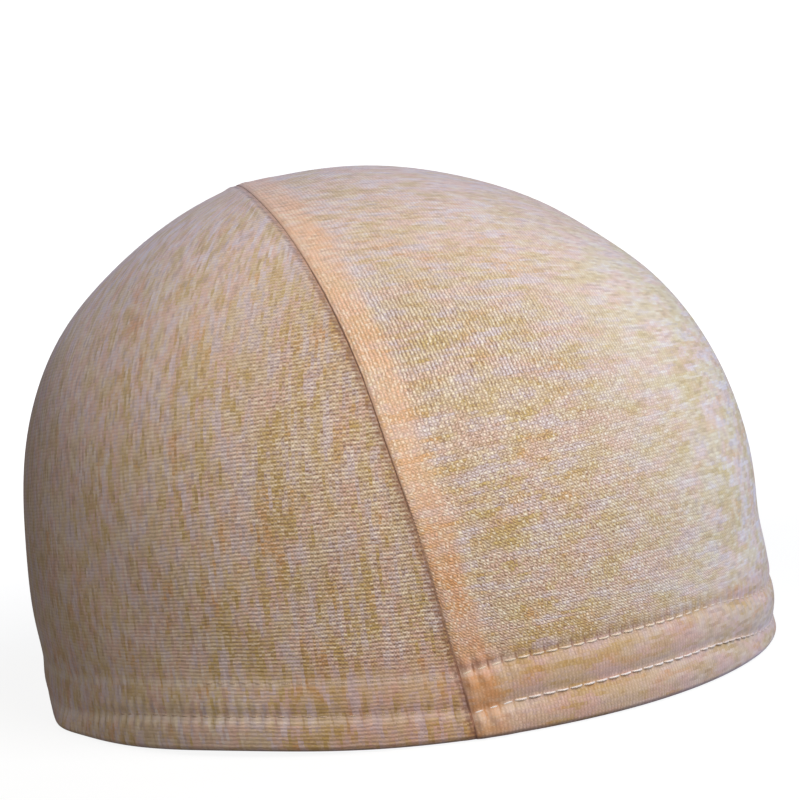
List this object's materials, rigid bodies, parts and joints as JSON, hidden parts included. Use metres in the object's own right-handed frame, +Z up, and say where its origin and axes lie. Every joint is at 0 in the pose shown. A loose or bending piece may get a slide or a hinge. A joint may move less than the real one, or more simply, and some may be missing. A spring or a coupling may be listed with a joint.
{
  "type": "jersey beanie cap",
  "caption": "Close-fitting domed cap of heathered jersey, sewn from panels with a seam over the crown and a turned-up hem around the open rim.",
  "frame": {"origin": "centre of the rim, on the surface that the cap stands on", "axes": "+Z up to the crown, -Y to the front where the seam starts, +X to the side of the right panel"},
  "size_m": [0.1641, 0.2056, 0.1124],
  "materials": {
    "left_jersey": "matt heathered jersey with ribs around the crown",
    "right_jersey": "matt heathered jersey with ribs up the crown",
    "allowance_jersey": "matt doubled jersey with an overlocked edge"
  },
  "bodies": {
    "root": {"left_panel": "left_jersey", "right_panel": "right_jersey", "seam_allowance": "allowance_jersey"}
  },
  "joints": []
}
